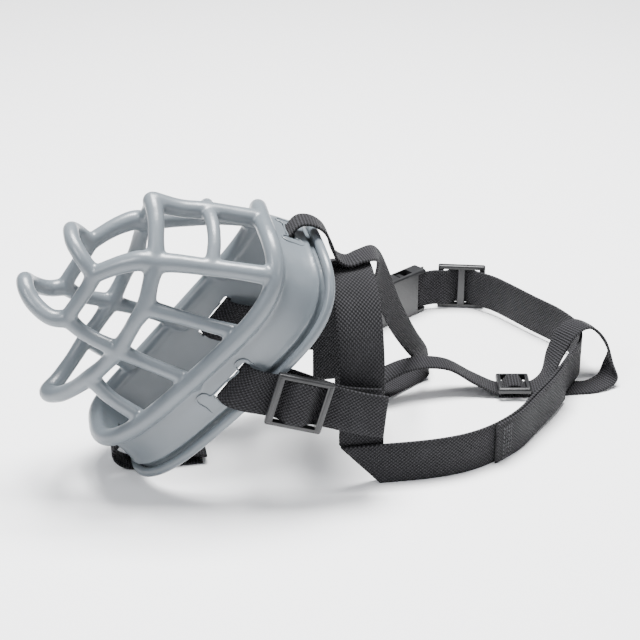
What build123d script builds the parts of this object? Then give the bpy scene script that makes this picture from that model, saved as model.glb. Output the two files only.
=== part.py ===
from build123d import *
from math import cos, sin, pi, radians, hypot
import os

os.makedirs("parts", exist_ok=True)

# Basket muzzle lying on its chin side: nose towards -X, straps spread towards +X, near side is -Y.
# Lengths in millimetres. Everything is laid out with the muzzle's symmetry plane at y = 0 and is
# moved once, at export, so that the middle of the footprint is the origin.
CENTRE_X, CENTRE_Y = 125.0, 44.6

# --- rubber basket -------------------------------------------------------------------------------
RING_TILT = radians(39.2)         # the face opening leans back from upright by this much
RING_CENTRE = (49.9, 0, 69.2)
RING_HALF_LENGTH = 59.4           # brow to chin, to the middle of the front bead
RING_HALF_WIDTH = 30.4
RING_SQUARENESS = 0.63            # below 1 the ring's ends are blunter than an ellipse
RING_BOW = 12.0                   # how far the ring's sides sweep back towards the cheeks
BAND_WIDTH = 26.0
BAND_WALL = 2.4
BAND_FLARE = 0.0035               # growth of the band per mm towards the face
BEAD_R = 3.3
LIP_WIDTH, LIP_RISE = 4.6, 2.6
BAR_R = 3.05
HOOP_R = 3.3
CHEEK_SLOT = (22.0, 4.4)          # length and opening of the two cheek slots
END_SLOT = (14.0, 4.4)            # the same for the brow and chin slots

# --- webbing and hardware -------------------------------------------------------------------------
WEB = 20.0                        # cheek, crown and neck webbing
WEB_T = 1.4
NARROW = 12.0                     # overhead and chin webbing
NARROW_T = 1.2
SLIDER = (25.0, 24.6, 3.4)        # length along the strap, height across it, thickness
SMALL_SLIDER = (16.0, 16.6, 3.0)
SLIDER_BAR = 4.2
SLIDER_BAR_T = 2.0
BUCKLE_AT = (168.0, 115.5, 12.6)  # where plug meets socket
BUCKLE_AXIS = (0.838, 0.545, 0)   # from the plug into the socket
SOCKET = (27.0, 25.0, 8.4)        # length, height, thickness

CHEEK_SLOT_AT = (1.5, 23.6)
END_SLOT_AT = 13.0
UP = Vector(sin(RING_TILT), 0, cos(RING_TILT))       # along the ring, chin to brow
BACK = Vector(cos(RING_TILT), 0, -sin(RING_TILT))    # square to the ring, towards the face
RING_PLANE = Plane(origin=RING_CENTRE, x_dir=UP, z_dir=BACK)   # its local y is world -y


def mirrored(points):
    return [(x, -y, z) for x, y, z in points]


def half_loop(points):
    """The near half of a closed loop, square to the symmetry plane at both ends."""
    return Spline(*points, tangents=((0, -1, 0), (0, 1, 0)))


def tube(path, r):
    return sweep(Plane(origin=path @ 0, z_dir=path % 0) * Circle(r), path=path)


def bar(points, r):
    """A round bar through the points with round ends."""
    path = Line(*points) if len(points) == 2 else Spline(*points)
    ends = [Pos(*points[0]) * Sphere(r), Pos(*points[-1]) * Sphere(r)]
    return [tube(path, r)] + ends


def egg(t, grow=1.0, out=0.0):
    """Ring outline in its own plane: x from chin to brow, y to the side; wider towards the brow."""
    c, s = cos(t), sin(t)
    side = RING_HALF_WIDTH * abs(s) ** RING_SQUARENESS * (1 + 0.2 * c + 0.25 * c * c)
    side = side if s >= 0 else -side
    return ((RING_HALF_LENGTH * grow + out) * c, side * grow + (out if s > 0 else -out if s < 0 else 0))


def egg_face(z, out=0.0):
    pts = []
    for i in range(36):
        x, y = egg(2 * pi * i / 36, 1 + BAND_FLARE * z, out)
        pts.append((x + 0.05 * z, y))
    return RING_PLANE * Pos(0, 0, z) * make_face(Polyline(*pts, close=True))


def sleeve(out, inner):
    """A flaring tube of egg section, much longer than the band that is cut from it."""
    ends = (-14, 56)
    outer = loft([egg_face(z, out) for z in ends], ruled=True)
    return outer - loft([egg_face(z, inner) for z in ends], ruled=True)


def sweep_back(y):
    return RING_BOW * min(abs(y) / 32.0, 1.5) ** 3


def strip(start, end):
    """The slice of space between two curved fronts that follow the ring's bow."""
    ys = [-45 + 5 * i for i in range(19)]
    plane = Plane(origin=RING_CENTRE, x_dir=(0, 1, 0), z_dir=UP)    # local y is forward
    front = [(y, -sweep_back(y) - start) for y in ys]
    rear = [(y, -sweep_back(y) - end) for y in ys]
    return extrude(plane * make_face(Polyline(*front, *rear[::-1], close=True)), amount=95, both=True)


def ring_point(t):
    x, y = egg(t)
    z = sweep_back(y)
    grow = 1 + BAND_FLARE * z
    x, y = x * grow + 0.05 * z, y * grow
    p = Vector(*RING_CENTRE) + UP * x + BACK * z
    return (p.X, -y, p.Z)


# bars of the cage, near side and symmetry plane (points measured from the symmetry plane)
BROW = ring_point(0)
HOOP = [(41.6, 0, 127.0), (42.0, -9, 122.6), (41.2, -16, 116.5), (39.9, -21.6, 109.0), (37.2, -25, 100.5),
        (34.6, -26, 91.0), (30.2, -25.5, 84.2), (26.8, -24.5, 77.9), (22.5, -23, 70.6), (16.8, -21, 63.2),
        (10.2, -18, 56.0), (3.6, -13, 48.8), (-3.5, -6.5, 42.6), (-8.2, 0, 40.4)]
N1, N2, N3, N5 = HOOP[3], HOOP[5], HOOP[8], HOOP[10]
M1, P1 = (14.8, -16.4, 103.0), (2.8, -15.6, 83.2)
FRONT_LOOP = [M1, (10.8, -13.4, 109.0), (7.6, -7.5, 113.8), (6.9, 0, 115.7)]
NOSE_LOOP = [P1, (-4.0, -14.2, 83.8), (-10.6, -9.4, 88.6), (-13.4, -4.6, 93.0), (-13.8, 0, 94.7)]
BRIDGE = [(64.6, 0, 121.2), (65.4, -10, 119.6), (65.0, -18.5, 115.0), (63.2, -25.4, 108.2)]
SIDE_BARS = [
    ([N1, (48.0, -23, 108.6), (60.0, -25.6, 107.2), (72.5, -28.2, 105.6), (84.0, -30.2, 103.6)], 3.6),
    ([N1, (35.1, -21.2, 110.0), (27.7, -19.7, 108.6), (21.0, -18.1, 106.0), M1], 3.4),
    ([M1, (12.6, -16.6, 98.6), (8.4, -16.6, 92.4), (4.4, -16.1, 86.6), P1], 3.2),
    ([P1, (7.4, -17.5, 78.6), (12.4, -19.5, 75.4), (17.3, -21.5, 73.2), N3], 3.2),
    ([N2, (48.7, -28.4, 86.4), (60.9, -29.8, 82.0), (74.0, -31.0, 77.6)], 2.9),
    ([N3, (30.5, -25.0, 66.5), (43.0, -27.2, 60.4), (54.0, -28.6, 54.4)], 2.9),
    ([N5, (17.6, -21.2, 47.6), (29.5, -23.4, 38.0)], 2.9),
]


def make_basket():
    """The near half, cut flat at the symmetry plane, and its mirror image that meets it face to face."""
    near = Box(400, 200, 400, align=(Align.CENTER, Align.MAX, Align.CENTER))
    body = sleeve(0, -BAND_WALL) & strip(0, BAND_WIDTH)
    body += sleeve(LIP_RISE, -BAND_WALL) & strip(BAND_WIDTH - LIP_WIDTH, BAND_WIDTH)
    body += sleeve(1.4, -BAND_WALL - 1.4) & strip(-BEAD_R, BEAD_R)
    pieces = [tube(half_loop(HOOP), HOOP_R)]
    pieces += bar([HOOP[0], (53.0, 0, 123.2), BRIDGE[0], (76.0, 0, 118.4), BROW], 3.7)
    for half, r in ((FRONT_LOOP[::-1], 3.2), (NOSE_LOOP[::-1], 3.5), (BRIDGE, 2.7)):
        path = Spline(*half, tangents=((0, -1, 0), Vector(*half[-1]) - Vector(*half[-2])))
        pieces += [tube(path, r), Pos(*half[-1]) * Sphere(r)]
    for points, r in SIDE_BARS:
        pieces += bar(points, r)
    body &= near
    for piece in pieces:
        body += piece
    x, z = CHEEK_SLOT_AT
    body -= RING_PLANE * Pos(x, 0, z) * Box(CHEEK_SLOT[0], 120, CHEEK_SLOT[1])
    for x in (66, -66):
        body -= RING_PLANE * Pos(x, 0, END_SLOT_AT) * Box(22, END_SLOT[0], END_SLOT[1])
    body &= near
    return Compound(children=[body, mirror(body, about=Plane.XZ)])


def ribbon(path, width, t):
    """Flat webbing along a smooth path. Each stop is (point, width direction); the thickness is
    square to both, and the width direction may be skewed to the path, as where webbing enters a slot."""
    points = [p for p, _ in path]
    curve = Spline(*points)
    stops, n = [], max(24, int(curve.length / 2.2))
    marks = [curve.param_at_point(Vector(*p)) for p in points]
    for i in range(n + 1):
        u = i / n
        k = max(j for j in range(len(marks) - 1) if marks[j] <= u + 1e-9)
        f = (u - marks[k]) / (marks[k + 1] - marks[k])
        w = Vector(*path[k][1]).normalized() * (1 - f) + Vector(*path[k + 1][1]).normalized() * f
        along = (curve % u).normalized()
        w = w.normalized()
        face = w.cross(along)
        half_w, half_t = w * (width / 2 / face.length), face.normalized() * (t / 2)
        c = curve @ u
        corners = [c + half_w + half_t, c - half_w + half_t, c - half_w - half_t, c + half_w - half_t]
        stops.append(make_face(Polyline(*corners, close=True)))
    return loft(stops, ruled=True)


def slider(size, web, rail=3.0):
    """Three-bar slider: an open frame with a thinner bar across its middle."""
    length, height, t = size
    side = (height - web) / 2 - 0.3
    frame = Box(length, height, t) - Box(length - 2 * rail, height - 2 * side, t + 2)
    frame = fillet(frame.edges().filter_by(Axis.Z), 0.9)
    return frame + Pos(0, 0, -(t - SLIDER_BAR_T) / 2) * Box(SLIDER_BAR, height - side, SLIDER_BAR_T)


def hump(at, along, out, reach, lift, w):
    """Webbing path that rises over a slider's middle bar, as ribbon stops."""
    at, along, out = Vector(*at), Vector(*along).normalized(), Vector(*out).normalized()
    rise = ((-reach, 0), (-0.62 * reach, 0), (-0.44 * reach, 0.42), (-0.25 * reach, 0.97), (0, 1.04),
            (0.25 * reach, 0.97), (0.44 * reach, 0.42), (0.62 * reach, 0), (reach, 0))
    return [((p := at + along * s + out * (lift * h)) and (p.X, p.Y, p.Z), w) for s, h in rise]


SLOT_W = (UP.X, UP.Y, UP.Z)
LEAN = (0.29, 0, 0.957)
CHEEK_AT, CHEEK_ALONG, CHEEK_OUT = (96.6, -39.6, 48.0), (0.957, -0.05, -0.286), (-0.05, -0.998, 0.02)
CHEEK_STRAP = [
    ((133.0, -36.1, 38.0), (0.1, 0, 1)), ((115.0, -36.0, 41.2), (0.15, 0, 1)),
    ((105.0, -33.2, 44.3), (0.2, 0, 1)), ((93.0, -29.2, 48.0), (0.3, 0, 1)),
    ((82.0, -27.4, 51.4), (0.45, 0, 0.9)), ((72.5, -27.2, 54.6), SLOT_W), ((69.3, -30.6, 55.8), SLOT_W),
    ((71.4, -36.0, 55.2), SLOT_W), ((77.0, -38.4, 53.6), (0.5, 0, 0.86)),
] + hump(CHEEK_AT, CHEEK_ALONG, CHEEK_OUT, 12.8, 4.1, LEAN) + [
    ((115.0, -41.2, 42.6), (0.2, 0, 1)), ((124.0, -42.0, 39.9), (0.14, 0, 1)),
    ((134.0, -42.4, 37.6), (0.1, 0, 1))]

UPRIGHT = (0, 0, 1)
NECK_SLIDER_AT, NECK_SLIDER_ALONG = (211.5, 125.2, 12.6), (0.966, -0.259, 0)
NECK_SLIDER_OUT = (0.259, 0.966, 0)


def make_neck_strap():
    near_run = [(113, -35.3, 10), (133, -35.6, 10), (157, -35.6, 10), (173, -33.2, 10), (186.5, -27.6, 10),
                (201, -17.2, 10.1), (213, -4.6, 10.8), (225, 8.0, 11.7), (239, 26.6, 11.9),
                (250.5, 43.0, 11.9), (253.6, 58.0, 11.9), (249.4, 74.5, 11.9), (240.5, 90.5, 12.2),
                (231.5, 107.0, 12.6), (226.4, 115.8, 12.6)]
    stops = [(p, UPRIGHT) for p in near_run]
    stops += hump(NECK_SLIDER_AT, (-0.966, 0.259, 0), NECK_SLIDER_OUT, 13.8, 4.1, UPRIGHT)[1:]
    b, at = Vector(*BUCKLE_AXIS), Vector(*BUCKLE_AT)
    side = Vector(-b.Y, b.X, 0)
    for s, o in ((26.2, -2.6), (23.1, -2.2), (22.2, 0), (23.1, 2.2), (26.2, 2.6), (31, 2.5)):
        p = at + b * s + side * o
        stops.append(((p.X, p.Y, p.Z), UPRIGHT))
    return ribbon(stops, WEB, WEB_T)


def make_crown_strap():
    """Flat webbing over the back of the head, from the near cheek junction to the far one."""
    leg = [(-33.3, 0.4), (-33.4, 30), (-32.4, 60), (-24.0, 79), (-10.5, 88.8), (0, 91)]
    stops = [((125.2, y, z), (1, 0, 0)) for y, z in leg]
    stops += [((125.2, -y, z), (1, 0, 0)) for y, z in leg[-2:0:-1]] + [((125.2, 33.3, 16), (1, 0, 0))]
    return ribbon(stops, WEB, WEB_T)


def make_neck_overlap():
    """Second layer sewn along the outside of the neck strap, from the seam towards the loop."""
    return ribbon([((187.9, -29.0, 10.0), UPRIGHT), ((202.4, -18.6, 10.1), UPRIGHT), ((214.5, -5.9, 10.8), UPRIGHT),
                   ((226.4, 6.8, 11.7), UPRIGHT), ((235.6, 18.7, 11.9), UPRIGHT)], WEB, WEB_T)


def make_far_strap():
    b, at = Vector(*BUCKLE_AXIS), Vector(*BUCKLE_AT)
    side = Vector(-b.Y, b.X, 0)
    stops = [((127, 39.6, 17), UPRIGHT), ((133, 40.6, 17), UPRIGHT), ((139, 46.6, 16.6), UPRIGHT),
             ((143, 60, 15.6), UPRIGHT), ((146, 78, 14.2), UPRIGHT), ((149.2, 92, 13.4), UPRIGHT)]
    for s, o in ((-18.5, 2.4), (-15.0, 2.6), (-11.8, 2.2), (-10.9, 0), (-11.8, -2.2), (-15, -2.6), (-20, -2.7)):
        p = at + b * s + side * o
        stops.append(((p.X, p.Y, p.Z), UPRIGHT))
    return ribbon(stops, WEB, WEB_T)


OVER_SLIDER_AT, OVER_SLIDER_ALONG = (214.0, 32.6, 2.6), (0.985, -0.174, 0)


def make_overhead_strap():
    """From the brow slot over the crown strap, down to the floor, back, and out to the neck strap."""
    across = (0, 1, 0)
    stops = [((114.2, -0.5, 98.2), across), ((108.6, -0.5, 99.8), across), ((102.6, -0.5, 102.6), across),
             ((98.3, -0.5, 106.4), across), ((100.1, -0.5, 110.8), across), ((103.6, -0.5, 113.8), across),
             ((108.8, -0.5, 113.4), across), ((113.8, -0.5, 109.8), across), ((116.9, -0.5, 103.6), across),
             ((119.4, -0.4, 96.4), across),
             ((124.5, -0.4, 93.2), across), ((131, 1.6, 93.9), (-0.2, 1, 0.0)), ((138.6, 7.2, 92.0), (0, 1, 0.1)),
             ((143.4, 17, 76), (0.55, 0.55, 0.55)), ((153.5, 32, 49), (0.64, 0.45, 0.63)),
             ((166, 47, 25), (0.5, 0.65, 0.5)), ((175.4, 55.5, 10), (0.3, 0.85, 0.35)),
             ((177.0, 58.0, 4.2), (0.1, 1, 0.1)), ((172.6, 57.0, 1.4), (-0.3, 1, 0)), ((162, 50.0, 1.2), (-0.4, 0.9, 0)),
             ((151, 42.0, 1.6), (-0.4, 0.9, 0)), ((144.0, 36.0, 4.4), (-0.3, 0.95, 0)),
             ((145.4, 34.4, 10.4), (-0.15, 1, 0)), ((152, 36.2, 14.6), (-0.2, 1, 0)),
             ((166, 39.4, 17.0), (-0.1, 1, 0)), ((182, 40.2, 14.6), (0, 1, 0)), ((195, 37.6, 7.2), (0.1, 1, 0))]
    stops += hump(OVER_SLIDER_AT, OVER_SLIDER_ALONG, (0, 0, 1), 8.6, 4.0, (0.174, 0.985, 0))
    stops += [((229, 31.6, 7.0), (0.1, 1, 0)), ((236, 37.8, 17.4), (-0.3, 0.95, 0)),
              ((243, 42.0, 26.0), (-0.5, 0.86, 0)), ((251.5, 46.0, 27.4), (-0.5, 0.86, 0)),
              ((261, 45.6, 21.0), (-0.1, 1, 0)), ((265.6, 40.6, 11.0), (0.2, 1, 0)),
              ((262.6, 34.0, 3.2), (-0.4, 0.9, 0)), ((254.0, 30.4, 0.9), (-0.3, 0.95, 0)),
              ((242, 30.6, 0.7), (0, 1, 0)), ((228, 31.4, 0.7), (0.05, 1, 0)), ((207, 34.0, 0.7), (0.16, 0.98, 0))]
    return ribbon(stops, NARROW, NARROW_T)


def make_chin_strap():
    across = (0, 1, 0)
    return ribbon([((60.0, 0, 3.6), across), ((46.0, 0, 7.0), across), ((34.0, 0, 13.0), across),
                   ((27.2, 0, 17.0), across), ((23.0, 0, 15.6), across), ((20.6, 0, 12.8), across),
                   ((18.0, 0, 9.0), across), ((19.6, 0, 4.4), across), ((24.0, 0, 1.4), across),
                   ((30.0, 0, 0.7), across), ((44.0, 0, 0.7), across), ((58.0, 0, 0.7), across)],
                  NARROW, NARROW_T)


# The buckle is drawn with +X from the plug into the socket, +Y up across the strap, +Z thickness.
CAVITY = (18.6, 20.4, 5.2)
WEB_BAR_T = 3.0                   # thickness of the bars that hold the webbing


def make_socket():
    length, height, t = SOCKET
    body = Pos(length / 2, 0, 0) * Box(length, height, t)
    body = fillet(body.edges().filter_by(Axis.Z), 2.4)
    body = fillet(body.faces().sort_by(Axis.Z)[-1].edges() + body.faces().sort_by(Axis.Z)[0].edges(), 1.2)
    body -= Pos(CAVITY[0] / 2 - 0.01, 0, 0) * Box(CAVITY[0], CAVITY[1], CAVITY[2])
    body -= Pos(12.6, 0, 0) * Box(9.4, height + 2, CAVITY[2])           # side mouths for the prongs
    body -= Pos(22.3, 0, 0) * Box(3.4, 20.8, t + 2)                     # slot for the webbing
    for side in (-1, 1):
        body -= Pos(26.0, 0, side * (WEB_BAR_T / 2 + 3)) * Box(8, 20.8, 6)
    return body


def make_plug():
    base = Pos(-8.3, 0, 0) * Box(16.2, 24.0, 6.6)
    base = fillet(base.edges().filter_by(Axis.Z), 2.0)
    base -= Pos(-10.6, 0, 0) * Box(3.8, 20.8, 9)
    for side in (-1, 1):
        base -= Pos(-14.5, 0, side * (WEB_BAR_T / 2 + 3)) * Box(8, 20.8, 6)
    return base + Pos(7.4, 0, 0) * Box(15.2, 4.0, 2.4)                  # guide tongue


def make_prong(sign):
    """Springy arm with a barb that looks out of the socket's side mouth."""
    outline = [(0.2, 5.4), (0.2, 8.6), (9.0, 9.4), (9.6, 11.9), (12.4, 11.6), (16.8, 8.8), (17.4, 6.6),
               (12.0, 5.8)]
    face = make_face(Polyline(*[(x, sign * y) for x, y in outline], close=True))
    return Pos(0, 0, -2.1) * extrude(face, amount=4.2, dir=(0, 0, 1))


def bar_tack(at, along, out, width):
    """A stitched-down block of thread across the webbing."""
    return Plane(origin=at, x_dir=along, z_dir=out) * Box(6.0, width, 0.3)


BUCKLE = Plane(origin=BUCKLE_AT, x_dir=BUCKLE_AXIS, z_dir=(BUCKLE_AXIS[1], -BUCKLE_AXIS[0], 0))


def frame_at(at, along, out, lift):
    o, a = Vector(*out).normalized(), Vector(*along).normalized()
    return Plane(origin=Vector(*at) + o * lift, x_dir=a, z_dir=o)


cheek_slider = frame_at(CHEEK_AT, CHEEK_ALONG, CHEEK_OUT, 2.6) * slider(SLIDER, WEB)
cheek_strap = ribbon(CHEEK_STRAP, WEB, WEB_T)

parts = {
    "basket": make_basket(),
    "left_cheek_strap": cheek_strap,
    "left_cheek_slider": cheek_slider,
    "right_cheek_strap": mirror(cheek_strap, about=Plane.XZ),
    "right_cheek_slider": mirror(cheek_slider, about=Plane.XZ),
    "crown_strap": make_crown_strap(),
    "neck_strap": make_neck_strap(),
    "neck_overlap": make_neck_overlap(),
    "neck_slider": frame_at(NECK_SLIDER_AT, NECK_SLIDER_ALONG, NECK_SLIDER_OUT, 2.6) * slider(SLIDER, WEB),
    "plug_strap": make_far_strap(),
    "buckle_plug": BUCKLE * make_plug(),
    "plug_prong_upper": BUCKLE * make_prong(1),
    "plug_prong_lower": BUCKLE * make_prong(-1),
    "buckle_socket": BUCKLE * make_socket(),
    "overhead_strap": make_overhead_strap(),
    "overhead_slider": frame_at(OVER_SLIDER_AT, OVER_SLIDER_ALONG, (0, 0, 1), 2.3) * slider(SMALL_SLIDER, NARROW, 2.0),
    "chin_strap": make_chin_strap(),
    "tack_neck": bar_tack((193.75, -27.1, 10.0), (0.81, 0.58, 0), (0.58, -0.81, 0), 17),
}

for name, shape in parts.items():
    export_step(Pos(-CENTRE_X, -CENTRE_Y, 0) * shape, f"parts/{name}.step")
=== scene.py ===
from math import cos, pi, radians, sin

import bmesh
import bpy
import numpy as np
from mathutils import Matrix, Vector


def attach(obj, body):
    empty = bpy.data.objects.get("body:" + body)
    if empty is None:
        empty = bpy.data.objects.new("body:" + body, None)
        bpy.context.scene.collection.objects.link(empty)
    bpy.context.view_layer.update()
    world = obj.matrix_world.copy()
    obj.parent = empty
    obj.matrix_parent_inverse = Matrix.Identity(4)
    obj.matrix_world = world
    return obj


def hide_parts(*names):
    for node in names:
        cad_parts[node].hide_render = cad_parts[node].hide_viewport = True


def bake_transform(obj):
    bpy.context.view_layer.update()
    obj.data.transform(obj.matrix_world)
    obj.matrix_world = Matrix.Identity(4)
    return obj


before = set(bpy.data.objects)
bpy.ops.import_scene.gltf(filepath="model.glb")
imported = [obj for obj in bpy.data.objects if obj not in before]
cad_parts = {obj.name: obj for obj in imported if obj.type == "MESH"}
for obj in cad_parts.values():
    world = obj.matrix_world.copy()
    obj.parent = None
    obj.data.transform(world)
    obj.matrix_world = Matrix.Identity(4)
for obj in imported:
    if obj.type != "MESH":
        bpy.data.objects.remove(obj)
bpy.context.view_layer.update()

# The layout below is in millimetres with the muzzle's symmetry plane at y = 0. MIDDLE moves it into
# the frame, whose origin is the middle of the footprint.
MIDDLE = Vector((125.0, 44.6, 0.0))
MM = 0.001


def to_frame(p):
    return (Vector(p) - MIDDLE) * MM


def unit(v):
    v = np.asarray(v, float)
    return v / np.linalg.norm(v)


# ---------------------------------------------------------------- materials
def material(name):
    m = bpy.data.materials.new(name)
    m.use_nodes = True
    nt = m.node_tree
    return m, nt, nt.nodes["Principled BSDF"]


def node(nt, kind, **values):
    n = nt.nodes.new(kind)
    for k, v in values.items():
        setattr(n, k, v)
    return n


def math(nt, op, a, b=None, c=None):
    n = node(nt, "ShaderNodeMath", operation=op)
    for i, v in enumerate((a, b, c)):
        if v is None:
            continue
        if isinstance(v, (int, float)):
            n.inputs[i].default_value = v
        else:
            nt.links.new(v, n.inputs[i])
    return n.outputs[0]


def mix_color(nt, fac, a, b):
    n = node(nt, "ShaderNodeMix", data_type="RGBA")
    if isinstance(fac, (int, float)):
        n.inputs[0].default_value = fac
    else:
        nt.links.new(fac, n.inputs[0])
    for i, v in ((6, a), (7, b)):
        if isinstance(v, tuple):
            n.inputs[i].default_value = (*v, 1)
        else:
            nt.links.new(v, n.inputs[i])
    return n.outputs[2]


def noise(nt, scale, detail=3.0, rough=0.5, coords="Object"):
    tc = node(nt, "ShaderNodeTexCoord")
    n = node(nt, "ShaderNodeTexNoise")
    n.inputs["Scale"].default_value = scale
    n.inputs["Detail"].default_value = detail
    n.inputs["Roughness"].default_value = rough
    nt.links.new(tc.outputs[coords], n.inputs["Vector"])
    return n.outputs["Fac"]


def bump(nt, height, strength, distance, chain=None):
    n = node(nt, "ShaderNodeBump")
    n.inputs["Strength"].default_value = strength
    n.inputs["Distance"].default_value = distance
    nt.links.new(height, n.inputs["Height"])
    if chain is not None:
        nt.links.new(chain, n.inputs["Normal"])
    return n.outputs["Normal"]


def span(nt, value, lo, hi, out_lo, out_hi):
    n = node(nt, "ShaderNodeMapRange")
    for i, v in enumerate((lo, hi, out_lo, out_hi)):
        n.inputs[i + 1].default_value = v
    nt.links.new(value, n.inputs[0])
    return n.outputs[0]


def rubber():
    m, nt, b = material("rubber")
    cloud = noise(nt, 28, 3)
    grain = noise(nt, 900, 2)
    fine = noise(nt, 260, 4, 0.6)
    tint = mix_color(nt, span(nt, cloud, 0.35, 0.65, 0, 1), (0.112, 0.130, 0.145), (0.138, 0.157, 0.173))
    nt.links.new(tint, b.inputs["Base Color"])
    nt.links.new(span(nt, fine, 0.3, 0.7, 0.28, 0.38), b.inputs["Roughness"])
    b.inputs["Specular IOR Level"].default_value = 0.6
    b.inputs["Subsurface Weight"].default_value = 0.06
    b.inputs["Subsurface Radius"].default_value = (0.002, 0.002, 0.0022)
    n = bump(nt, grain, 0.06, 0.00015)
    nt.links.new(bump(nt, fine, 0.05, 0.0003, n), b.inputs["Normal"])
    return m


def webbing(name, across, along, dots, base, light):
    """Woven webbing from its own length (U) and width (V), both in metres; the weave's relief is also painted
    into its colour as shade and highlight.
    """
    m, nt, b = material(name)
    uv = node(nt, "ShaderNodeUVMap", uv_map="weave")
    s = node(nt, "ShaderNodeSeparateXYZ")
    nt.links.new(uv.outputs["UV"], s.inputs[0])
    wobble = math(nt, "MULTIPLY", math(nt, "SUBTRACT", noise(nt, 60, 2), 0.5), 0.5)
    u = math(nt, "ADD", math(nt, "MULTIPLY", s.outputs[0], 2 * pi / along), wobble)
    v = math(nt, "ADD", math(nt, "MULTIPLY", s.outputs[1], 2 * pi / across), wobble)
    if dots:
        weave = math(nt, "MULTIPLY", math(nt, "SINE", u), math(nt, "SINE", v))
    else:
        cross = math(nt, "ADD", u, math(nt, "MULTIPLY", math(nt, "SINE", v), 0.7))
        weave = math(nt, "ADD", math(nt, "SINE", cross), math(nt, "MULTIPLY", math(nt, "COSINE", v), 0.25))
    height = span(nt, weave, -1, 1, 0, 1)
    fibre = noise(nt, 4200, 2)
    worn = noise(nt, 90, 3)
    # The weave height sets the colour too: painted shade in the weave's hollows and painted highlight on its
    # raised yarn, times a random fibre tone.
    shade = math(nt, "MULTIPLY", math(nt, "POWER", height, 2.2), span(nt, fibre, 0.3, 0.7, 0.6, 1.15))
    color = mix_color(nt, shade, base, light)
    # Random worn patches, lighter: real wear on the webbing.
    color = mix_color(nt, math(nt, "MULTIPLY", span(nt, worn, 0.45, 0.75, 0, 1), 0.16), color, light)
    nt.links.new(color, b.inputs["Base Color"])
    b.inputs["Roughness"].default_value = 0.78
    b.inputs["Specular IOR Level"].default_value = 0.25
    b.inputs["Sheen Weight"].default_value = 0.04
    b.inputs["Sheen Roughness"].default_value = 0.4
    n = bump(nt, height, 1.0, 0.00050)
    nt.links.new(bump(nt, fibre, 0.25, 0.00012, n), b.inputs["Normal"])
    return m


def plastic():
    m, nt, b = material("plastic")
    fine = noise(nt, 1500, 2)
    cloud = noise(nt, 80, 3)
    tint = mix_color(nt, span(nt, cloud, 0.3, 0.7, 0, 1), (0.007, 0.0072, 0.008), (0.012, 0.0122, 0.0135))
    nt.links.new(tint, b.inputs["Base Color"])
    nt.links.new(span(nt, fine, 0.3, 0.7, 0.34, 0.46), b.inputs["Roughness"])
    nt.links.new(bump(nt, fine, 0.16, 0.00015), b.inputs["Normal"])
    return m


def thread():
    m, nt, b = material("thread")
    fine = noise(nt, 3000, 2)
    nt.links.new(mix_color(nt, fine, (0.010, 0.010, 0.012), (0.04, 0.04, 0.045)), b.inputs["Base Color"])
    b.inputs["Roughness"].default_value = 0.6
    nt.links.new(bump(nt, fine, 0.3, 0.0001), b.inputs["Normal"])
    return m


RUBBER, PLASTIC, THREAD = rubber(), plastic(), thread()
# Each webbing's first colour is its painted shade in the weave's hollows; the second is its painted highlight
# on the raised yarn and also its worn tone.
WIDE = webbing("webbing", 0.00170, 0.00190, True, (0.0015, 0.0015, 0.002), (0.036, 0.035, 0.040))
NARROW_MAT = webbing("narrow_webbing", 0.0016, 0.00135, False, (0.0015, 0.0015, 0.002), (0.032, 0.031, 0.036))


# ---------------------------------------------------------------- mesh helpers
def mesh_object(name, verts, faces, mat, smooth=True):
    me = bpy.data.meshes.new(name)
    me.from_pydata([tuple(v) for v in verts], [], faces)
    me.validate()
    if smooth:
        me.polygons.foreach_set("use_smooth", [True] * len(me.polygons))
    me.materials.append(mat)
    ob = bpy.data.objects.new(name, me)
    bpy.context.scene.collection.objects.link(ob)
    return ob


def curve_through(points, step, closed=False, values=None):
    """Centripetal-like smooth curve through the points, resampled at an even step."""
    p = np.array(points, float)
    q = p if values is None else np.hstack([p, np.array(values, float).reshape(len(p), -1)])
    n = len(q)

    def get(i):
        if closed:
            return q[i % n]
        if i < 0:
            return 2 * q[0] - q[1]
        return q[i] if i < n else 2 * q[-1] - q[-2]

    out = []
    for i in range(n if closed else n - 1):
        a, b, c, d = get(i - 1), get(i), get(i + 1), get(i + 2)
        ka = np.linalg.norm((b - a)[:3]) ** 0.5
        kb = max(np.linalg.norm((c - b)[:3]) ** 0.5, 1e-6)
        kc = np.linalg.norm((d - c)[:3]) ** 0.5
        m1 = (c - b) + kb * ((b - a) / max(ka, 1e-6) - (c - a) / (ka + kb))
        m2 = (c - b) + kb * ((d - c) / max(kc, 1e-6) - (d - b) / (kb + kc))
        for k in range(24):
            t = k / 24
            ends = (2 * t**3 - 3 * t**2 + 1) * b + (t**3 - 2 * t**2 + t) * m1 + (3 * t**2 - 2 * t**3) * c
            out.append(ends + (t**3 - t**2) * m2)
    out.append(q[0] if closed else q[-1])
    out = np.array(out)
    s = np.concatenate([[0], np.cumsum(np.linalg.norm(np.diff(out[:, :3], axis=0), axis=1))])
    count = max(3, int(round(s[-1] / step)) + 1)
    even = np.linspace(0, s[-1], count)
    res = np.stack([np.interp(even, s, out[:, k]) for k in range(out.shape[1])], 1)
    return res, even


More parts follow.
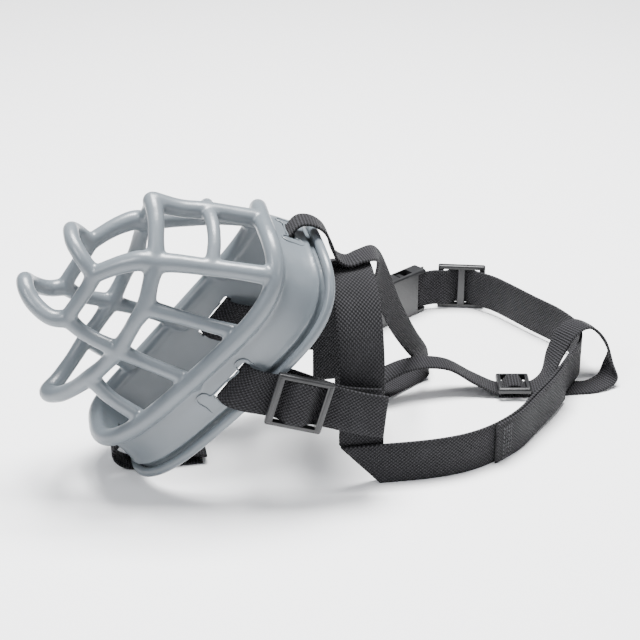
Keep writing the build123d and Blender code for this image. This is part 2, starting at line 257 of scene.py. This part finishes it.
def tube_mesh(points, radii, closed=False, sides=20):
    """Vertices and faces of a tube, closed into a ring or with round ends; radii per control point."""
    res, _ = curve_through(points, 1.2, closed, radii)
    if closed:
        res = res[:-1]
    c, r = res[:, :3], res[:, 3]
    n = len(c)
    before = [i - 1 if closed else max(i - 1, 0) for i in range(n)]
    after = [(i + 1) % n if closed else min(i + 1, n - 1) for i in range(n)]
    tangent = np.array([unit(c[j] - c[i]) for i, j in zip(before, after)])
    around = [2 * pi * k / sides for k in range(sides)]
    ref = unit(np.cross(tangent[0], (0.3, 0.5, 0.8)))
    rings = []
    for i in range(n):
        ref = unit(ref - tangent[i] * np.dot(ref, tangent[i]))
        other = np.cross(tangent[i], ref)
        rings.append([c[i] + r[i] * (cos(a) * ref + sin(a) * other) for a in around])
    verts = [v for ring in rings for v in ring]
    faces = []
    for i in range(n if closed else n - 1):
        j = (i + 1) % n
        shift = 0
        if closed and j == 0:      # line up the seam
            shift = min(range(sides), key=lambda s: np.linalg.norm(np.array(rings[-1][0]) - rings[0][s]))
        for k in range(sides):
            near = (i * sides + k, i * sides + (k + 1) % sides)
            faces.append(near + (j * sides + (k + 1 + shift) % sides, j * sides + (k + shift) % sides))
    if not closed:
        for end, sign in ((0, -1), (n - 1, 1)):
            base = [end * sides + k for k in range(sides)]
            last = base
            for a in (30, 60):
                start = len(verts)
                mid = c[end] + sign * tangent[end] * r[end] * sin(radians(a))
                for k in range(sides):
                    verts.append(mid + (np.array(rings[end][k]) - c[end]) * cos(radians(a)))
                new = [start + k for k in range(sides)]
                for k in range(sides):
                    f = (last[k], last[(k + 1) % sides], new[(k + 1) % sides], new[k])
                    faces.append(f if sign > 0 else f[::-1])
                last = new
            verts.append(c[end] + sign * tangent[end] * r[end])
            for k in range(sides):
                f = (last[k], last[(k + 1) % sides], len(verts) - 1)
                faces.append(f if sign > 0 else f[::-1])
    return verts, faces


def join(parts):
    verts, faces = [], []
    for v, f in parts:
        base = len(verts)
        verts += [tuple(x) for x in v]
        faces += [tuple(i + base for i in face) for face in f]
    return verts, faces


def mirror(points):
    return [(x, -y, z) for x, y, z in points]


def ribbon(name, path, width, thick, mat, cuts=(), step=1.0):
    """Webbing along ribbon stops (point, width direction), with rounded edges and its own weave UVs.

    cuts are the stops where it is divided, so that each length can follow its own body.
    Returns the lengths."""
    points = [p for p, _ in path]
    res, s = curve_through(points, step, False, [unit(w) for _, w in path])
    c, w = res[:, :3], res[:, 3:6]
    n = len(c)
    section = [(-1, 0), (-0.985, 0.75), (-0.95, 1), (-0.5, 1), (0, 1),
               (0.5, 1), (0.95, 1), (0.985, 0.75), (1, 0)]
    section += [(x, -z) for x, z in section[-2:0:-1]]
    k = len(section)
    rows = []
    for i in range(n):
        t = unit(c[min(i + 1, n - 1)] - c[max(i - 1, 0)])
        wi = unit(w[i])
        face = np.cross(wi, t)
        stretch = 1 / max(np.linalg.norm(face), 0.6)
        face = unit(face)
        end = 0.55 if i in (0, n - 1) else 1.0
        rows.append([
            to_frame(c[i] + wi * x * width / 2 * stretch + face * z * thick / 2 * end) for x, z in section])
    ends = [0] + [int(np.argmin(np.linalg.norm(c - np.array(points[i]), axis=1))) for i in cuts] + [n - 1]
    lengths = []
    for number, (first, last) in enumerate(zip(ends, ends[1:])):
        faces, uvs = [], []
        for i in range(last - first):
            for j in range(k):
                a, b = i * k + j, i * k + (j + 1) % k
                faces.append((a, b, b + k, a + k))
                x0, x1 = section[j][0], section[(j + 1) % k][0]
                s0, s1 = s[first + i], s[first + i + 1]
                uvs += [(s0, x0), (s0, x1), (s1, x1), (s1, x0)]
        if first == 0:
            faces.append(tuple(range(k - 1, -1, -1)))
            uvs += [(s[0], x) for x, _ in section[::-1]]
        if last == n - 1:
            faces.append(tuple((last - first) * k + j for j in range(k)))
            uvs += [(s[last], x) for x, _ in section]
        tag = name if not cuts else f"{name}_{number + 1}"
        ob = mesh_object(tag, [v for row in rows[first:last + 1] for v in row], faces, mat)
        layer = ob.data.uv_layers.new(name="weave")
        layer.data.foreach_set("uv", [x for u, v in uvs for x in (u * MM, v * width / 2 * MM)])
        lengths.append(ob)
    return lengths


# ---------------------------------------------------------------- rubber basket
TILT = radians(39.2)
RING_C = np.array((49.9, 0, 69.2))
UP = np.array((sin(TILT), 0, cos(TILT)))
BACK = np.array((cos(TILT), 0, -sin(TILT)))
HALF_L, HALF_W, BOW, FLARE = 59.4, 30.4, 12.0, 0.0035


def egg(t, grow, out=0.0):
    c, s = cos(t), sin(t)
    side = HALF_W * abs(s) ** 0.63 * (1 + 0.2 * c + 0.25 * c * c) * (1 if s >= 0 else -1)
    return (HALF_L * grow + out) * c, side * grow + out * s * (abs(s) ** -0.3 if abs(s) > 1e-6 else 1)


def ring_at(t, depth, out=0.0):
    """A point of the band: depth is measured back from the front bead, out from the band's middle."""
    _, y0 = egg(t, 1)
    z = BOW * min(abs(y0) / 32.0, 1.5) ** 3 + depth
    x, y = egg(t, 1 + FLARE * z, out)
    return RING_C + UP * (x + 0.05 * z) + BACK * z - np.array((0, 1, 0)) * y


def ring_params(n):
    """Parameters that space points evenly round the egg."""
    t = np.linspace(0, 2 * pi, 2001)
    p = np.array([ring_at(a, 0) for a in t])
    s = np.concatenate([[0], np.cumsum(np.linalg.norm(np.diff(p, axis=0), axis=1))])
    return np.interp(np.linspace(0, s[-1], n, endpoint=False), s, t)


def band_mesh():
    """Flared band with a rounded, grooved rear lip, as one closed ring of a single profile."""
    profile = [(0, 0.6), (3.4, -0.2), (4.4, -0.9), (9, -0.6), (14, -0.5), (18.0, -0.2), (19.4, 0.5),
               (20.3, 0.2), (20.9, -1.5), (22.4, -1.7), (24.0, -0.8), (25.4, -1.0), (25.8, -2.0), (25.0, -2.9),
               (18, -3.1), (8, -3.1), (2, -3.2), (0, -3.2)]
    ts = ring_params(220)
    verts, faces, k = [], [], len(profile)
    for t in ts:
        verts += [ring_at(t, d, o) for d, o in profile]
    n = len(ts)
    for i in range(n):
        for j in range(k):
            a, b = i * k + j, i * k + (j + 1) % k
            c, d = ((i + 1) % n) * k + (j + 1) % k, ((i + 1) % n) * k + j
            faces.append((a, b, c, d))
    return verts, faces


def bone_outline(t0, shift, depth, scale):
    """Closed line round a slot, with two lobes at each end, lying on the band's outer face."""
    half = [(13.4 + 3.5 * cos(radians(a)), 3.3 + 3.5 * sin(radians(a))) for a in range(190, -45, -24)]
    half += [(u, -v) for u, v in half[::-1]]
    ring = half + [(0, -2.9)] + [(-u, -v) for u, v in half] + [(0, 2.9)]
    t = np.linspace(t0 - 1.2, t0 + 1.2, 1201)
    p = np.array([ring_at(a, depth) for a in t])
    s = np.concatenate([[0], np.cumsum(np.linalg.norm(np.diff(p, axis=0), axis=1))])
    s -= s[600] + shift
    return [tuple(ring_at(float(np.interp(u * scale, s, t)), depth + v * scale, -0.45)) for u, v in ring]


BEAD_R, LIP_R, RELIEF_R = 3.9, 2.1, 0.42
LIP_DEPTH, LIP_OUT = 24.2, 1.1
CHEEK_SLOT, CHIN_BROW_SLOT, SLOT_ROUND = (21.4, 26, 4.2), (22, 14.6, 4.6), 1.4
BROW = tuple(ring_at(0, 0))
HOOP = [(41.6, 0, 127.0), (42.0, -9, 122.6), (41.2, -16, 116.5), (39.9, -21.6, 109.0), (37.2, -25, 100.5),
        (34.6, -26, 91.0), (30.2, -25.5, 84.2), (26.8, -24.5, 77.9), (22.5, -23, 70.6), (16.8, -21, 63.2),
        (10.2, -18, 56.0), (3.6, -13, 48.8), (-3.5, -6.5, 42.6), (-8.2, 0, 40.4)]
HOOP_RADII = [3.9, 3.6, 3.5, 4.1, 3.5, 3.9, 3.4, 3.4, 3.9, 3.4, 3.7, 3.5, 3.7, 4.0]
N1, N2, N3, N5 = HOOP[3], HOOP[5], HOOP[8], HOOP[10]
M1, P1 = (14.8, -16.4, 103.0), (2.8, -15.6, 83.2)
FRONT_LOOP = [M1, (10.8, -13.4, 109.0), (7.6, -7.5, 113.8), (6.9, 0, 115.7)]
NOSE_LOOP = [P1, (-4.0, -14.2, 83.8), (-10.6, -9.4, 88.6), (-13.4, -4.6, 93.0), (-13.8, 0, 94.7)]
BRIDGE = [(64.6, 0, 121.2), (65.4, -10, 119.6), (65.0, -18.5, 115.0), (63.2, -25.4, 108.2)]
SIDE_BARS = [
    ([N1, (48.0, -23, 108.6), (60.0, -25.6, 107.2), (72.5, -28.2, 105.6), (84.0, -30.2, 103.6)],
     (4.4, 3.9, 3.6, 3.5, 3.8)),
    ([N1, (35.1, -21.2, 110.0), (27.7, -19.7, 108.6), (21.0, -18.1, 106.0), M1], (4.4, 4.3, 3.9, 3.6, 3.6)),
    ([M1, (12.6, -16.6, 98.6), (8.4, -16.6, 92.4), (4.4, -16.1, 86.6), P1], (3.6, 3.2, 3.1, 3.2, 3.6)),
    ([P1, (7.4, -17.5, 78.6), (12.4, -19.5, 75.4), (17.3, -21.5, 73.2), N3], (3.6, 3.2, 3.1, 3.2, 3.7)),
    ([N2, (48.7, -28.4, 86.4), (60.9, -29.8, 82.0), (74.0, -31.0, 77.6)], (3.7, 3.0, 2.9, 3.3)),
    ([N3, (30.5, -25.0, 66.5), (43.0, -27.2, 60.4), (54.0, -28.6, 54.4)], (3.7, 3.0, 2.9, 3.3)),
    ([N5, (17.6, -21.2, 47.6), (29.5, -23.4, 38.0)], (3.6, 3.0, 3.3)),
]


def loop_of(half):
    return list(half) + mirror(half[1:-1])[::-1]


def boolean(ob, cutter, op):
    mod = ob.modifiers.new("cut", "BOOLEAN")
    mod.operation, mod.object, mod.solver = op, cutter, "FAST"
    apply_modifiers(ob)
    bpy.data.objects.remove(cutter)


def apply_modifiers(ob):
    deps = bpy.context.evaluated_depsgraph_get()
    me = bpy.data.meshes.new_from_object(ob.evaluated_get(deps))
    ob.modifiers.clear()
    ob.data = me


def rounded_box(name, centre, axes, size, r, mat=None, segments=4):
    """Box with rounded edges; axes are its three directions, size its full extents in mm."""
    bm = bmesh.new()
    bmesh.ops.create_cube(bm, size=1.0)
    for v in bm.verts:
        v.co = Vector((v.co.x * size[0], v.co.y * size[1], v.co.z * size[2]))
    if r > 0:
        bmesh.ops.bevel(bm, geom=list(bm.edges), offset=r, segments=segments, affect="EDGES", profile=0.5)
    me = bpy.data.meshes.new(name)
    rot = Matrix([list(unit(a)) for a in axes]).transposed()
    for v in bm.verts:
        v.co = to_frame(rot @ v.co + Vector(centre))
    bm.to_mesh(me)
    bm.free()
    me.polygons.foreach_set("use_smooth", [True] * len(me.polygons))
    if mat:
        me.materials.append(mat)
    ob = bpy.data.objects.new(name, me)
    bpy.context.scene.collection.objects.link(ob)
    return ob


def make_basket():
    """Merges cage, bead and band into one skin, cuts the slots, then adds the lip and the raised outlines."""
    tubes = [band_mesh(), tube_mesh([ring_at(t, 0, 0.3) for t in ring_params(60)], [BEAD_R] * 60, True)]
    tubes.append(tube_mesh(loop_of(HOOP), HOOP_RADII + HOOP_RADII[-2:0:-1], True))
    spine = [HOOP[0], (53.0, 0, 123.2), BRIDGE[0], (76.0, 0, 118.4), BROW]
    tubes.append(tube_mesh(spine, [4.4, 3.9, 3.9, 3.9, 4.2]))
    for half, r in ((FRONT_LOOP, 3.4), (NOSE_LOOP, 3.7), (BRIDGE[::-1], 2.9)):
        whole = list(half) + mirror(half[:-1])[::-1]
        tubes.append(tube_mesh(whole, [r + 0.3] + [r] * (len(whole) - 2) + [r + 0.3]))
    for points, radii in SIDE_BARS:
        for side in (points, mirror(points)):
            tubes.append(tube_mesh(side, [r + 0.15 for r in radii]))
    verts, faces = join(tubes)
    ob = mesh_object("rubber_basket", [to_frame(v) for v in verts], faces, RUBBER)
    remesh = ob.modifiers.new("merge", "REMESH")
    remesh.mode, remesh.voxel_size = "VOXEL", (0.0008)
    apply_modifiers(ob)
    axes = (UP, (0, 1, 0), BACK)
    for y in (-31, 31):
        centre = RING_C + UP * 1.9 + BACK * 23.6 + np.array((0, y, 0))
        boolean(ob, rounded_box("cutter", centre, axes, CHEEK_SLOT, SLOT_ROUND), "DIFFERENCE")
    for x in (66, -66):
        centre = RING_C + UP * x + BACK * 13.0
        boolean(ob, rounded_box("cutter", centre, axes, CHIN_BROW_SLOT, SLOT_ROUND), "DIFFERENCE")
    smooth = ob.modifiers.new("soften", "SMOOTH")
    smooth.factor, smooth.iterations = 0.5, (4)
    apply_modifiers(ob)
    lip = tube_mesh([ring_at(t, LIP_DEPTH, LIP_OUT) for t in ring_params(90)], [LIP_R] * 90, True, 16)
    marks = [bone_outline(*where) for where in
             ((pi / 2, 1.9, 13.8, 0.9), (3 * pi / 2, -1.9, 13.8, 0.9), (0.0, 0.0, 13.0, 0.72))]
    marks = [tube_mesh(line, [RELIEF_R] * len(line), True, 8) for line in marks]
    verts, faces = join([lip] + marks)
    extra = mesh_object("relief", [to_frame(v) for v in verts], faces, RUBBER)
    bpy.ops.object.select_all(action="DESELECT")
    extra.select_set(True)
    ob.select_set(True)
    bpy.context.view_layer.objects.active = ob
    bpy.ops.object.join()
    ob.data.polygons.foreach_set("use_smooth", [True] * len(ob.data.polygons))
    ob.data.materials.clear()
    ob.data.materials.append(RUBBER)
    return ob


basket = make_basket()
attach(basket, "muzzle")
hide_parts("basket")


# ---------------------------------------------------------------- webbing
def hump(at, along, out, reach, lift, w):
    """Stops of the webbing where it rises over a slider's middle bar."""
    at, along, out = np.array(at), unit(along), unit(out)
    rise = ((-reach, 0), (-0.62 * reach, 0), (-0.44 * reach, 0.42), (-0.25 * reach, 0.97), (0, 1.04),
            (0.25 * reach, 0.97), (0.44 * reach, 0.42), (0.62 * reach, 0), (reach, 0))
    return [(tuple(at + along * s + out * lift * h), w) for s, h in rise]


def mirror_y(v):
    return (v[0], -v[1], v[2])


def far_side(stops):
    return [((x, -y, z), (-a, b, -c)) for (x, y, z), (a, b, c) in stops]


SLOT_W = tuple(UP)
LEAN = (0.29, 0, 0.957)
CHEEK_AT, CHEEK_ALONG, CHEEK_OUT = (96.6, -39.6, 48.0), (0.957, -0.05, -0.286), (-0.05, -0.998, 0.02)
CHEEK_STRAP = [
    ((133.0, -36.1, 38.0), (0.1, 0, 1)), ((115.0, -36.0, 41.2), (0.15, 0, 1)),
    ((105.0, -33.2, 44.3), (0.2, 0, 1)), ((93.0, -29.2, 48.0), (0.3, 0, 1)),
    ((82.0, -27.4, 51.4), (0.45, 0, 0.9)), ((72.5, -27.2, 54.6), SLOT_W), ((69.3, -30.6, 55.8), SLOT_W),
    ((71.4, -36.0, 55.2), SLOT_W), ((77.0, -38.4, 53.6), (0.5, 0, 0.86)),
] + hump(CHEEK_AT, CHEEK_ALONG, CHEEK_OUT, 12.8, 4.1, LEAN) + [
    ((115.0, -41.2, 42.6), (0.2, 0, 1)), ((124.0, -42.0, 39.9), (0.14, 0, 1)),
    ((134.0, -42.4, 37.6), (0.1, 0, 1))]
UPRIGHT = (0, 0, 1)
NECK_AT, NECK_ALONG, NECK_OUT = (211.5, 125.2, 12.6), (0.966, -0.259, 0), (0.259, 0.966, 0)
B_AT, B_X = np.array((168.0, 115.5, 12.6)), unit((0.838, 0.545, 0))
B_SIDE = np.array((-B_X[1], B_X[0], 0))


def by_buckle(marks):
    return [(tuple(B_AT + B_X * s + B_SIDE * o), UPRIGHT) for s, o in marks]


NECK_STRAP = [(p, UPRIGHT) for p in (
    (113, -35.3, 10), (133, -35.6, 10), (157, -35.6, 10), (173, -33.2, 10), (186.5, -27.6, 10),
    (201, -17.2, 10.1), (213, -4.6, 10.8), (225, 8.0, 11.7), (239, 26.6, 11.9), (250.5, 43.0, 11.9),
    (253.6, 58.0, 11.9), (249.4, 74.5, 11.9), (240.5, 90.5, 12.2), (231.5, 107.0, 12.6),
    (226.4, 115.8, 12.6))]
NECK_STRAP += hump(NECK_AT, tuple(-np.array(NECK_ALONG)), NECK_OUT, 13.8, 4.1, UPRIGHT)[1:]
NECK_STRAP += by_buckle(((26.2, -2.6), (23.1, -2.2), (22.2, 0), (23.1, 2.2), (26.2, 2.6), (31, 2.5)))
NECK_OVERLAP = [(p, UPRIGHT) for p in (
    (187.9, -29.0, 10.0), (202.4, -18.6, 10.1), (214.5, -5.9, 10.8), (226.4, 6.8, 11.7), (235.6, 18.7, 11.9))]
PLUG_STRAP = [((127, 39.6, 17), UPRIGHT), ((133, 40.6, 17), UPRIGHT), ((139, 46.6, 16.6), UPRIGHT),
              ((143, 60, 15.6), UPRIGHT), ((146, 78, 14.2), UPRIGHT), ((149.2, 92, 13.4), UPRIGHT)]
PLUG_STRAP += by_buckle((
    (-18.5, 2.4), (-15.0, 2.6), (-11.8, 2.2), (-10.9, 0), (-11.8, -2.2), (-15, -2.6), (-20, -2.7)))
LEG = [(-33.3, 0.4), (-33.4, 30), (-32.4, 60), (-24.0, 79), (-10.5, 88.8), (0, 91)]
CROWN = [((125.2, y, z), (1, 0, 0)) for y, z in LEG + [(-y, z) for y, z in LEG[-2:0:-1]] + [(33.3, 16)]]
ACROSS = (0, 1, 0)
OVER_AT, OVER_ALONG, OVER_W = (214.0, 32.6, 2.6), (0.985, -0.174, 0), (0.174, 0.985, 0)
OVERHEAD = [((114.2, -0.5, 98.2), ACROSS), ((108.6, -0.5, 99.8), ACROSS), ((102.6, -0.5, 102.6), ACROSS),
            ((98.3, -0.5, 106.4), ACROSS), ((100.1, -0.5, 110.8), ACROSS), ((103.6, -0.5, 113.8), ACROSS),
            ((108.8, -0.5, 113.4), ACROSS), ((113.8, -0.5, 109.8), ACROSS), ((116.9, -0.5, 103.6), ACROSS),
            ((119.4, -0.4, 96.4), ACROSS), ((124.5, -0.4, 93.2), ACROSS), ((131, 1.6, 93.9), (-0.2, 1, 0)),
            ((138.6, 7.2, 92.0), (0, 1, 0.1)), ((143.4, 17, 76), (0.55, 0.55, 0.55)),
            ((153.5, 32, 49), (0.64, 0.45, 0.63)), ((166, 47, 25), (0.5, 0.65, 0.5)),
            ((175.4, 55.5, 10), (0.3, 0.85, 0.35)), ((177.0, 58.0, 4.2), (0.1, 1, 0.1)),
            ((172.6, 57.0, 1.4), (-0.3, 1, 0)), ((162, 50.0, 1.2), (-0.4, 0.9, 0)),
            ((151, 42.0, 1.6), (-0.4, 0.9, 0)), ((144.0, 36.0, 4.4), (-0.3, 0.95, 0)),
            ((145.4, 34.4, 10.4), (-0.15, 1, 0)), ((152, 36.2, 14.6), (-0.2, 1, 0)),
            ((166, 39.4, 17.0), (-0.1, 1, 0)), ((182, 40.2, 14.6), (0, 1, 0)),
            ((195, 37.6, 7.2), (0.1, 1, 0))]
OVERHEAD += hump(OVER_AT, OVER_ALONG, (0, 0, 1), 8.6, 4.0, OVER_W)
OVERHEAD += [((229, 31.6, 7.0), (0.1, 1, 0)), ((236, 37.8, 17.4), (-0.3, 0.95, 0)),
             ((243, 42.0, 26.0), (-0.5, 0.86, 0)), ((251.5, 46.0, 27.4), (-0.5, 0.86, 0)),
             ((261, 45.6, 21.0), (-0.1, 1, 0)), ((265.6, 40.6, 11.0), (0.2, 1, 0)),
             ((262.6, 34.0, 3.2), (-0.4, 0.9, 0)), ((254.0, 30.4, 0.9), (-0.3, 0.95, 0)),
             ((242, 30.6, 0.7), (0, 1, 0)),
             ((228, 31.4, 0.7), (0.05, 1, 0)), ((207, 34.0, 0.7), (0.16, 0.98, 0))]
CHIN = [((x, 0, z), ACROSS) for x, z in (
    (60.0, 3.6), (46.0, 7.0), (34.0, 13.0), (27.2, 17.0), (23.0, 15.6), (20.6, 12.8), (18.0, 9.0), (19.6, 4.4),
    (24.0, 1.4), (30.0, 0.7), (44.0, 0.7), (58.0, 0.7))]

def cut_to_fold(ob):
    """Trims the lower left corner of the webbing along the 45 degree fold behind the cheek strap's tail."""
    for v in ob.data.vertices:
        x, y, z = v.co / MM + MIDDLE
        if y < -25 and x < 134:
            v.co.x = (max(x, 133.5 - 0.9 * z) - MIDDLE.x) * MM


straps = {}
for name, path, width, thick, mat, cuts in (
        ("left_cheek_strap", CHEEK_STRAP, 20, 1.4, WIDE, (7, 13)),
        ("right_cheek_strap", far_side(CHEEK_STRAP), 20, 1.4, WIDE, (7, 13)),
        ("crown_strap", CROWN, 20, 1.4, WIDE, ()), ("neck_strap", NECK_STRAP, 20, 1.4, WIDE, (12, 18)),
        ("neck_overlap", NECK_OVERLAP, 20, 1.4, WIDE, ()), ("plug_strap", PLUG_STRAP, 20, 1.4, WIDE, ()),
        ("overhead_strap", OVERHEAD, 12, 1.2, NARROW_MAT, (26, 31, 38)),
        ("chin_strap", CHIN, 12, 1.2, NARROW_MAT, ())):
    straps[name] = ribbon(name + "_webbing", path, width, thick, mat, cuts)
    for ob in straps[name]:
        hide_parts(name)
for name in ("crown_strap", "neck_strap"):
    cut_to_fold(straps[name][0])


for name in ("crown_strap", "neck_overlap", "plug_strap", "chin_strap"):
    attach(straps[name][0], "muzzle")
for side, at, along in (
        ("left", CHEEK_AT, CHEEK_ALONG), ("right", mirror_y(CHEEK_AT), mirror_y(CHEEK_ALONG))):
    turn, front, tail = straps[side + "_cheek_strap"]
    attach(turn, "muzzle")
    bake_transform(front)
    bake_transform(tail)
over, front, back, tail = straps["overhead_strap"]
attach(over, "muzzle")
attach(tail, "muzzle")
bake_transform(front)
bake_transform(back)
loop, front, back = straps["neck_strap"]
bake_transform(loop)
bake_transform(front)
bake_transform(back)


# ---------------------------------------------------------------- hardware
def combine(name, obs, mat):
    bpy.ops.object.select_all(action="DESELECT")
    for o in obs:
        o.select_set(True)
    bpy.context.view_layer.objects.active = obs[0]
    bpy.ops.object.join()
    ob = obs[0]
    ob.name = ob.data.name = name
    ob.data.materials.clear()
    ob.data.materials.append(mat)
    return ob


def slider_visual(name, at, along, out, lift, size, web, rail, bar_t=2.0):
    """Three-bar slider: an open frame, its middle bar and a raised ridge on each rail."""
    a, o = unit(along), unit(out)
    y = np.cross(o, a)
    c = np.array(at) + o * lift
    length, height, t = size
    side = (height - web) / 2 - 0.3
    axes = (a, y, o)
    outer = rounded_box(name, c, axes, size, 1.0, PLASTIC, 5)
    hole = rounded_box("hole", c, axes, (length - 2 * rail, height - 2 * side, t + 4), 0.0)
    boolean(outer, hole, "DIFFERENCE")
    mid = rounded_box("mid", c - o * (t - bar_t) / 2, axes, (4.2, height - side, bar_t), 0.8, PLASTIC, 4)
    ridges = []
    for sgn in (-1, 1):
        place = c + a * sgn * (length / 2 - rail / 2) + o * (t / 2 - 0.2)
        ridges.append(rounded_box("ridge", place, axes, (rail * 0.5, height - 2.6, 0.7), 0.3, PLASTIC, 3))
    ob = combine(name, [outer, mid] + ridges, PLASTIC)
    shade_by_angle(ob)
    return ob


def shade_by_angle(ob, angle=40):
    bm = bmesh.new()
    bm.from_mesh(ob.data)
    for e in bm.edges:
        e.smooth = len(e.link_faces) == 2 and e.calc_face_angle(0) < radians(angle)
    for f in bm.faces:
        f.smooth = True
    bm.to_mesh(ob.data)
    bm.free()


SLIDER = (25.0, 24.6, 3.4)
for name, body, at, along, out, lift, size, web, rail in (
        ("left_cheek_slider", "left_slider", CHEEK_AT, CHEEK_ALONG, CHEEK_OUT, 2.6, SLIDER, 20, 3.0),
        ("right_cheek_slider", "right_slider",
         *map(mirror_y, (CHEEK_AT, CHEEK_ALONG, CHEEK_OUT)), 2.6, SLIDER, 20, 3.0),
        ("neck_slider", "neck_adjuster", NECK_AT, NECK_ALONG, NECK_OUT, 2.6, SLIDER, 20, 3.0),
        ("overhead_slider", "overhead_adjuster",
         OVER_AT, OVER_ALONG, (0, 0, 1), 2.3, (16.0, 16.6, 3.0), 12, 2.0)):
    ob = slider_visual(name + "_frame", at, along, out, lift, size, web, rail)
    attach(ob, body)
    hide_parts(name)

for name in ("buckle_plug", "buckle_socket", "plug_prong_upper", "plug_prong_lower"):
    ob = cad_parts[name]
    ob.data.materials.clear()
    ob.data.materials.append(PLASTIC)
    bevel = ob.modifiers.new("edge", "BEVEL")
    bevel.width, bevel.segments, bevel.limit_method, bevel.angle_limit = 0.0006, 3, "ANGLE", radians(35)


# ---------------------------------------------------------------- stitching
STITCH = (0.5, 1.5, 0.4)


def stitches(name, at, along, out, size, lines):
    """Rows of small thread bars over webbing, size long along it and wide across it."""
    a, o = unit(along), unit(out)
    y = np.cross(o, a)
    obs = []
    for k in range(lines):
        x = (k / (lines - 1) - 0.5) * size[0]
        n = int(size[1] / 1.9)
        for i in range(n):
            v = ((i + 0.5) / n - 0.5) * size[1]
            lean = a * (0.35 if k % 2 else -0.35) + y
            axes = (unit(np.cross(lean, o)), unit(lean), o)
            place = np.array(at) + a * x + y * v
            obs.append(rounded_box("stitch", place, axes, STITCH, 0.15, THREAD, 2))
    ob = combine(name, obs, THREAD)
    return ob


tack = stitches("tack_neck_thread", (193.75, -27.1, 10.0), (0.81, 0.58, 0), (0.58, -0.81, 0), (5.0, 17), 4)
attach(tack, "muzzle")
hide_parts("tack_neck")


# ---------------------------------------------------------------- stage, light and camera
def flat_material(name, base, rough):
    m, nt, b = material(name)
    cloud = noise(nt, 3, 2)
    nt.links.new(mix_color(nt, cloud, base, tuple(c * 1.02 for c in base)), b.inputs["Base Color"])
    b.inputs["Roughness"].default_value = rough
    return m


me = bpy.data.meshes.new("floor")
me.from_pydata([(-4, -4, 0), (4, -4, 0), (4, 4, 0), (-4, 4, 0)], [], [(0, 1, 2, 3)])
floor = bpy.data.objects.new("floor", me)
bpy.context.scene.collection.objects.link(floor)
me.materials.append(flat_material("paper", (0.96, 0.96, 0.965), 0.6))


def area(name, where, target, size, power, color=(1, 1, 1)):
    light = bpy.data.lights.new(name, "AREA")
    light.shape, light.size, light.size_y = "RECTANGLE", size[0], size[1]
    light.energy, light.color = power, color
    ob = bpy.data.objects.new(name, light)
    ob.location = where
    ob.rotation_euler = (Vector(target) - Vector(where)).to_track_quat("-Z", "Y").to_euler()
    bpy.context.scene.collection.objects.link(ob)


area("key", (0.05, 0.2, 1.15), (0, 0, 0), (0.6, 0.45), 60)
area("left", (-0.75, -0.55, 0.85), (0, 0, 0.05), (0.35, 0.45), 8, (0.95, 0.97, 1.0))
area("front", (0.75, -0.7, 0.7), (0, 0, 0.05), (0.5, 0.4), 3)
world = bpy.data.worlds.new("studio")
bpy.context.scene.world = world
world.use_nodes = True
world.node_tree.nodes["Background"].inputs[0].default_value = (0.93, 0.95, 1.0, 1)
world.node_tree.nodes["Background"].inputs[1].default_value = 0.30

# The lens is for a 36 mm sensor, and the camera's place is in layout millimetres.
PITCH, TURN = radians(27), radians(-10.1)
LENS = 91.7398
CAMERA_AT = (0, -632.93, 392.580)
cam_data = bpy.data.cameras.new("camera")
cam_data.sensor_width = 36
cam_data.lens = LENS
cam_data.clip_start = 0.01
cam = bpy.data.objects.new("camera", cam_data)
bpy.context.scene.collection.objects.link(cam)
bpy.context.scene.camera = cam
cam.location = to_frame(CAMERA_AT)
turned = Matrix.Rotation(TURN, 3, "Z") @ Matrix.Rotation(radians(90) - PITCH, 3, "X")
cam.rotation_euler = turned.to_euler()
